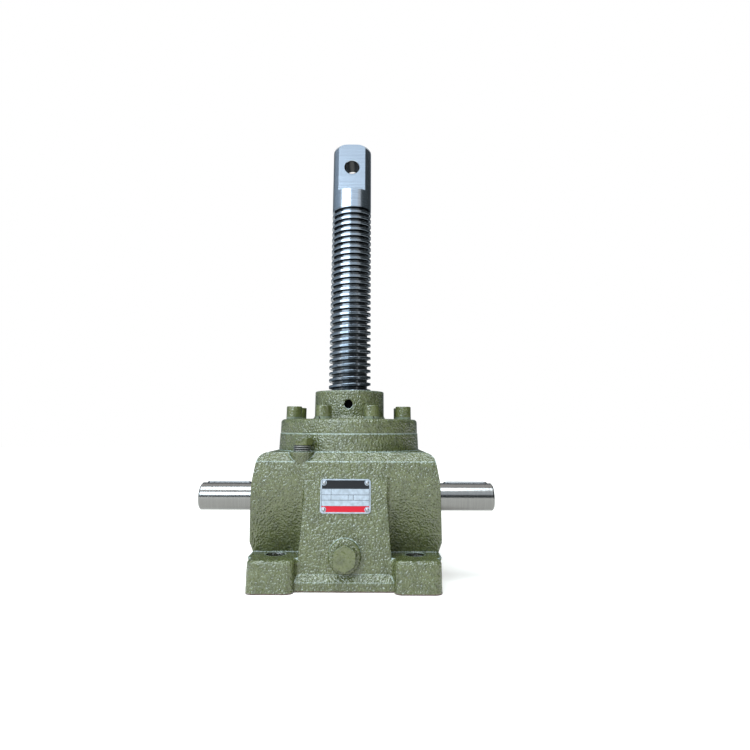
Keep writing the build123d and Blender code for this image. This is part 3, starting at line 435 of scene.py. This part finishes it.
def plate_material():
    """Satin plate with a dark heading, ruled rows and a red foot, all without words."""
    low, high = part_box("nameplate")
    width = high.x - low.x
    height = high.z - low.z
    material = plain_material("plate_aluminium", *PLATE_ALUMINIUM)
    tree = material.node_tree
    place = separated(tree, object_point(tree))
    across = maths(tree, "DIVIDE", maths(tree, "SUBTRACT", place["X"], low.x), width)
    down = maths(tree, "DIVIDE", maths(tree, "SUBTRACT", high.z, place["Z"]), height)

    def patch(left, right, top, bottom):
        """Factor that is 1 in one rectangle of the plate."""
        columns = maths(tree, "COMPARE", across, (left + right) / 2, (right - left) / 2)
        rows = maths(tree, "COMPARE", down, (top + bottom) / 2, (bottom - top) / 2)
        return maths(tree, "MULTIPLY", columns, rows)

    thin = PRINT_LINE / 2 / width
    flat = PRINT_LINE / 2 / height
    right = 1 - PRINT_LEFT
    lines = [patch(PRINT_LEFT, right, row - flat, row + flat) for row in PRINT_ROWS]
    for edge in (PRINT_LEFT, right):
        lines.append(patch(edge - thin, edge + thin, PRINT_ROWS[0], PRINT_ROWS[-1]))
    for divider, first, last in PRINT_DIVIDERS:
        lines.append(patch(divider - thin, divider + thin, PRINT_ROWS[first], PRINT_ROWS[last]))
    corners = []
    for x in (low.x + RIVET_INSET, high.x - RIVET_INSET):
        for z in (low.z + RIVET_INSET, high.z - RIVET_INSET):
            square = square_distance(tree, maths(tree, "SUBTRACT", place["X"], x),
                                     maths(tree, "SUBTRACT", place["Z"], z))
            corners.append(maths(tree, "LESS_THAN", square, PRINT_CORNER ** 2))
    clear = maths(tree, "SUBTRACT", 1.0, largest(tree, corners))
    heading = maths(tree, "MULTIPLY", patch(PRINT_LEFT, right, *PRINT_HEADER), clear)
    foot = maths(tree, "MULTIPLY", patch(PRINT_LEFT, right, *PRINT_FOOTER), clear)
    recolour(material, largest(tree, lines + [heading]), PRINT_BLACK)
    recolour(material, foot, PRINT_RED)
    return material


def housing_paint():
    """Paint of the housing, with primer at its lower edges and painted shade in the foot holes."""
    material = paint_material("housing_paint")
    tree = material.node_tree
    place = separated(tree, object_point(tree))
    hole_x, hole_y, radius = FOOT_HOLE
    square = square_distance(
        tree,
        maths(tree, "SUBTRACT", maths(tree, "ABSOLUTE", place["X"]), hole_x),
        maths(tree, "SUBTRACT", maths(tree, "ABSOLUTE", place["Y"]), hole_y))
    inside = maths(tree, "LESS_THAN", square, radius ** 2)
    low = maths(tree, "LESS_THAN", place["Z"], FOOT_HEIGHT)
    # Painted shade inside the foot holes, below the feet's top
    recolour(material, maths(tree, "MULTIPLY", inside, low), HOLE_SHADE)
    recolour(material, maths(tree, "LESS_THAN", place["Z"], PRIMER_HEIGHT), PRIMER)
    return material


def vent_thread_steel(middle):
    """Dark steel with a painted highlight on its crests, round the vent plug's axis."""
    material = plain_material("vent_thread_steel", *VENT_STEEL)
    tree = material.node_tree
    # Painted highlight on the thread's crests
    crest_highlight = maths(tree, "GREATER_THAN", from_axis(tree, *middle),
                   VENT_STEM + VENT_CREST_HIGHLIGHT_START * VENT_CREST)
    recolour(material, crest_highlight, VENT_CREST_HIGHLIGHT)
    return material


def bronze_with_painted_shade():
    """Bronze of the hub's bush, with painted shade in black on its outside."""
    material = plain_material("bronze_with_painted_shade", *BRONZE)
    tree = material.node_tree
    # Painted shade on the bush's outside
    outside = maths(tree, "GREATER_THAN", from_axis(tree),
                    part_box("hub_guide_bush")[1].x - BUSH_SHADE_DEPTH)
    recolour(material, outside, BUSH_SHADE)
    return material


# Mesh helpers

def linked(name, data):
    """New object for a mesh, light or camera, linked to the scene."""
    item = bpy.data.objects.new(name, data)
    bpy.context.scene.collection.objects.link(item)
    return item


def built(name, shape):
    """New object made from a finished bmesh."""
    mesh = bpy.data.meshes.new(name)
    shape.to_mesh(mesh)
    shape.free()
    return linked(name, mesh)


def turned_rings(shape, outline, steps, middle=(0.0, 0.0)):
    """Rings of vertices from an outline of (radius, height) turned about an upright line."""
    return [[shape.verts.new((
        middle[0] + radius * math.cos(2 * math.pi * step / steps),
        middle[1] + radius * math.sin(2 * math.pi * step / steps),
        height)) for step in range(steps)] for radius, height in outline]


def join_rings(shape, rings):
    """Faces between each ring and the next."""
    for lower, upper in zip(rings, rings[1:]):
        for step in range(len(lower)):
            after = (step + 1) % len(lower)
            shape.faces.new((lower[step], lower[after], upper[after], upper[step]))


def shade_by_angle(item, angle):
    """Smooth shading with sharp edges above an angle in degrees."""
    mesh = item.data
    mesh.shade_smooth()
    shape = bmesh.new()
    shape.from_mesh(mesh)
    limit = math.radians(angle)
    for edge in shape.edges:
        if len(edge.link_faces) == 2 and edge.calc_face_angle(0.0) > limit:
            edge.smooth = False
    shape.to_mesh(mesh)
    shape.free()


# Lifting screw

def thread_profile():
    """One pitch of the thread, as (distance from the crest's middle, radius)."""
    crest = THREAD_CREST_RADIUS
    root = crest - THREAD_DEPTH
    foot = THREAD_CREST_HALF + THREAD_DEPTH * math.tan(math.radians(THREAD_FLANK_ANGLE))
    slant = THREAD_EDGE / 3  # gained along the screw by an edge of that height
    half = [
        (THREAD_CREST_HALF - THREAD_EDGE, crest),
        (THREAD_CREST_HALF + slant, crest - THREAD_EDGE),
        (foot - slant, root + THREAD_EDGE),
        (foot + THREAD_EDGE, root),
    ]
    return [(-place, radius) for place, radius in reversed(half)] + half


def threaded_mesh():
    """Helical thread from the lower end up to the plain neck."""
    profile = thread_profile()
    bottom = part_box("lifting_screw")[0].z
    turns = int((THREAD_TOP - bottom) / THREAD_PITCH) + 2 * THREAD_SPARE_TURNS + 1
    groove_turn = (THREAD_GROOVE_ANGLE / 360.0) % 1.0
    crest_height = THREAD_GROOVE_HEIGHT - THREAD_PITCH * (groove_turn + 0.5)
    below = math.ceil((crest_height - bottom) / THREAD_PITCH + THREAD_SPARE_TURNS)
    first = crest_height - below * THREAD_PITCH
    shape = bmesh.new()
    rows = []
    for step in range(THREAD_STEPS + 1):
        angle = 2 * math.pi * step / THREAD_STEPS
        row = []
        for turn in range(turns):
            for place, radius in profile:
                height = first + (turn + step / THREAD_STEPS) * THREAD_PITCH + place
                if height >= THREAD_TOP:
                    radius = THREAD_CREST_RADIUS
                chamfered = THREAD_CREST_RADIUS - THREAD_DEPTH + max(height - bottom, 0.0)
                radius = min(radius, chamfered)
                height = min(max(height, bottom), THREAD_TOP)
                row.append(shape.verts.new((radius * math.cos(angle), radius * math.sin(angle), height)))
        rows.append(row)
    for left, right in zip(rows, rows[1:]):
        for index in range(len(left) - 1):
            shape.faces.new((left[index], right[index], right[index + 1], left[index + 1]))
    bmesh.ops.remove_doubles(shape, verts=shape.verts, dist=WELD)
    bmesh.ops.dissolve_degenerate(shape, edges=shape.edges, dist=WELD)
    end_edges = [edge for edge in shape.edges if edge.is_boundary
                 and max(vert.co.z for vert in edge.verts) < bottom + LEVEL]
    bmesh.ops.contextual_create(shape, geom=end_edges)
    return shape


def flat_cutter(side, top):
    """Block that cuts one flat of the head."""
    shape = bmesh.new()
    bmesh.ops.create_cube(shape, size=1.0)
    width = 4 * THREAD_CREST_RADIUS
    depth = THREAD_CREST_RADIUS
    height = HEAD_FLAT_LENGTH + FLAT_CUTTER_SPARE
    for vert in shape.verts:
        vert.co = Vector((
            vert.co.x * width,
            vert.co.y * depth + side * (HEAD_FLAT_HALF + depth / 2),
            vert.co.z * height + top - HEAD_FLAT_LENGTH + height / 2,
        ))
    return built("flat_cutter", shape)


def eye_cutter(top):
    """Turned cutter of the cross hole with its chamfered mouths."""
    reach = HEAD_FLAT_HALF + EYE_CUTTER_SPARE
    wide = EYE_RADIUS + EYE_CHAMFER + EYE_CUTTER_SPARE
    shape = bmesh.new()
    rings = turned_rings(shape, [
        (wide, -reach), (EYE_RADIUS, -HEAD_FLAT_HALF + EYE_CHAMFER),
        (EYE_RADIUS, HEAD_FLAT_HALF - EYE_CHAMFER), (wide, reach)], ROUND_STEPS)
    join_rings(shape, rings)
    shape.faces.new(rings[0])
    shape.faces.new(rings[-1])
    for vert in shape.verts:
        vert.co = Vector((vert.co.x, vert.co.z, top - EYE_DROP + vert.co.y))
    bmesh.ops.recalc_face_normals(shape, faces=shape.faces)
    return built("eye_cutter", shape)


def head_mesh():
    """Plain neck and flat-sided head with its cross hole."""
    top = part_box("lifting_screw")[1].z
    outline = [(THREAD_CREST_RADIUS, THREAD_TOP)]
    for step in range(HEAD_ROUNDING_STEPS + 1):
        angle = math.pi / 2 * step / HEAD_ROUNDING_STEPS
        outline.append((
            THREAD_CREST_RADIUS - HEAD_ROUNDING * (1 - math.cos(angle)),
            top - HEAD_ROUNDING * (1 - math.sin(angle)),
        ))
    shape = bmesh.new()
    rings = turned_rings(shape, outline, HEAD_STEPS)
    join_rings(shape, rings)
    shape.faces.new(rings[-1])
    shape.faces.new(list(reversed(rings[0])))
    head = built("screw_head", shape)
    cutters = [flat_cutter(side, top) for side in (-1, 1)]
    cutters.append(eye_cutter(top))
    for cutter in cutters:
        cut = head.modifiers.new("cut", "BOOLEAN")
        cut.operation = "DIFFERENCE"
        cut.solver = "EXACT"
        cut.object = cutter
    bpy.context.view_layer.update()
    graph = bpy.context.evaluated_depsgraph_get()
    result = bpy.data.meshes.new_from_object(head.evaluated_get(graph))
    for item in (head, *cutters):
        bpy.data.objects.remove(item)
    return result


def lifting_screw():
    """Screw with its real thread, in place of the plain CAD bar."""
    shape = threaded_mesh()
    shape.from_mesh(head_mesh())
    bmesh.ops.remove_doubles(shape, verts=shape.verts, dist=WELD)
    item = built("threaded_screw", shape)
    item.data.materials.append(screw_material())
    shade_by_angle(item, THREAD_SHARP_ANGLE)
    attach(item, "screw")
    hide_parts("lifting_screw")


# Vent plug

def vent_thread():
    """Crests of the thread that shows between the vent plug's hexagon and its boss."""
    low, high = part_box("vent_plug")
    middle = ((low.x + high.x) / 2, (low.y + high.y) / 2)
    bottom = high.z - VENT_THREAD_DROP
    top = bottom + VENT_CRESTS * VENT_THREAD_PITCH
    outline = [(VENT_STEM - VENT_STEM_INSET, bottom)]
    for crest in range(VENT_CRESTS):
        base = bottom + crest * VENT_THREAD_PITCH
        outline.append((VENT_STEM, base))
        outline.append((VENT_STEM + VENT_CREST, base + VENT_CREST_START * VENT_THREAD_PITCH))
        outline.append((VENT_STEM + VENT_CREST, base + VENT_CREST_END * VENT_THREAD_PITCH))
    outline.append((VENT_STEM, top))
    outline.append((VENT_STEM - VENT_STEM_INSET, top))
    shape = bmesh.new()
    rings = turned_rings(shape, outline, ROUND_STEPS, middle)
    join_rings(shape, rings + rings[:1])
    bmesh.ops.recalc_face_normals(shape, faces=shape.faces)
    item = built("vent_thread", shape)
    item.data.materials.append(vent_thread_steel(middle))
    shade_by_angle(item, VENT_SHARP_ANGLE)
    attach(item, "jack_body")


# Finishes of the CAD pieces

def wear(node, material):
    """Give a CAD node one material in every slot."""
    mesh = nodes[node].data
    mesh.materials.clear()
    mesh.materials.append(material)


def finish_pieces():
    """Give each CAD piece its finish; the lifting screw has its own mesh."""
    wear("housing", housing_paint())
    wear("top_cover", paint_material("cover_paint"))
    fine_paint = paint_material("green_paint_small_pieces", grain_and_painted_light=SMALL_GRAIN_AND_PAINTED_LIGHT, edge=SMALL_EDGE)
    for node in ("cover_screws", "drain_plug", "vent_plug"):
        wear(node, fine_paint)
    for name, (colour, roughness, metallic, wearers) in FINISHES.items():
        material = plain_material(name, colour, roughness, metallic)
        for node in wearers:
            wear(node, material)
    wear("hub_guide_bush", bronze_with_painted_shade())
    wear("input_shaft", turned_steel("shaft_steel", SHAFT_STEEL, SHAFT_STEEL_DARK, "X"))
    wear("nameplate", plate_material())


# Floor, light and camera

def seen_background(tree):
    """Factor that is 1 for what the camera sees, directly or in glossy and clear surfaces."""
    path = tree.nodes.new("ShaderNodeLightPath")
    shiny = maths(tree, "MAXIMUM", path.outputs["Is Glossy Ray"], path.outputs["Is Transmission Ray"])
    return maths(tree, "MAXIMUM", path.outputs["Is Camera Ray"], shiny)


def mixed(tree, factor, first, second):
    """Shader mixed from two by a factor."""
    mix = tree.nodes.new("ShaderNodeMixShader")
    tree.links.new(factor, mix.inputs[0])
    tree.links.new(first, mix.inputs[1])
    tree.links.new(second, mix.inputs[2])
    return mix.outputs[0]


def stage_sheet(name, corners, material):
    """Flat four-sided sheet of the stage."""
    mesh = bpy.data.meshes.new(name)
    mesh.from_pydata(corners, [], [(0, 1, 2, 3)])
    mesh.materials.append(material)
    item = linked(name, mesh)
    return item


def floor():
    """Plain pale floor that keeps a soft shadow of the jack."""
    material = bpy.data.materials.new("floor")
    material.use_nodes = True
    tree = material.node_tree
    tree.nodes.clear()
    output = tree.nodes.new("ShaderNodeOutputMaterial")
    matt = add(tree, "ShaderNodeBsdfDiffuse", Color=(*FLOOR_COLOUR, 1.0))
    glow = tree.nodes.new("ShaderNodeEmission")
    distance = maths(tree, "DIVIDE", from_axis(tree), FLOOR_GLOW_REACH)
    brightness = ramp(tree, distance, [
        (FLOOR_GLOW_START / FLOOR_GLOW_REACH, grey(FLOOR_GLOW_NEAR)),
        (FLOOR_GLOW_END / FLOOR_GLOW_REACH, grey(FLOOR_GLOW_FAR))])
    tree.links.new(brightness, glow.inputs["Color"])
    pale = tree.nodes.new("ShaderNodeAddShader")
    tree.links.new(matt.outputs[0], pale.inputs[0])
    tree.links.new(glow.outputs[0], pale.inputs[1])
    surface = mixed(tree, seen_background(tree), matt.outputs[0], pale.outputs[0])
    tree.links.new(surface, output.inputs["Surface"])
    stage_sheet("floor", [
        (-FLOOR_HALF, -FLOOR_HALF, 0), (FLOOR_HALF, -FLOOR_HALF, 0),
        (FLOOR_HALF, FLOOR_HALF, 0), (-FLOOR_HALF, FLOOR_HALF, 0)], material)


def surroundings():
    """White all round; a soft sky for the light that it sheds."""
    world = bpy.data.worlds.new("studio")
    bpy.context.scene.world = world
    world.use_nodes = True
    tree = world.node_tree
    tree.nodes.clear()
    output = tree.nodes.new("ShaderNodeOutputWorld")
    sky = add(tree, "ShaderNodeBackground", Color=(*SKY_COLOUR, 1.0), Strength=SKY_LIGHT)
    white = add(tree, "ShaderNodeBackground", Color=(1.0, 1.0, 1.0, 1.0), Strength=1.0)
    background = mixed(tree, seen_background(tree), sky.outputs[0], white.outputs[0])
    tree.links.new(background, output.inputs["Surface"])


def board(name, colour, start, end, height):
    """Upright board round the jack, seen only in what shines."""
    item = stage_sheet(name, [(*start, 0), (*end, 0), (*end, height), (*start, height)],
                       plain_material(name, colour, BOARD_ROUGHNESS))
    item.visible_camera = False
    item.visible_diffuse = False
    item.visible_shadow = False
    item.visible_transmission = False


def window(name, place, target, size, radiance, colour):
    """Soft light of one width and height, aimed at a point."""
    data = bpy.data.lights.new(name, "AREA")
    data.shape = "RECTANGLE"
    data.size, data.size_y = size
    data.energy = radiance * math.pi * data.size * data.size_y
    data.color = colour
    item = linked(name, data)
    item.location = place
    aim = Vector(target) - Vector(place)
    item.rotation_euler = aim.to_track_quat("-Z", "Y").to_euler()


def camera():
    """Camera where the photograph was taken from."""
    data = bpy.data.cameras.new("camera")
    data.sensor_width = SENSOR_WIDTH
    data.lens = FOCAL_PIXELS / PHOTO_SIZE * SENSOR_WIDTH
    data.shift_x = (PHOTO_SIZE / 2 - PRINCIPAL_X) / PHOTO_SIZE
    data.shift_y = (PRINCIPAL_Y - PHOTO_SIZE / 2) / PHOTO_SIZE
    item = linked("camera", data)
    item.location = CAMERA_PLACE
    turn = Matrix.Rotation(math.radians(CAMERA_YAW), 3, "Z")
    turn @= Matrix.Rotation(math.radians(90 + CAMERA_PITCH), 3, "X")
    turn @= Matrix.Rotation(math.radians(CAMERA_ROLL), 3, "Z")
    item.rotation_euler = turn.to_euler()
    bpy.context.scene.camera = item


lifting_screw()
vent_thread()
finish_pieces()
floor()
surroundings()
for name, values in BOARDS.items():
    board(name, *values)
for name, values in WINDOWS.items():
    window(name, *values)
camera()
bpy.context.scene.view_settings.view_transform = "Standard"
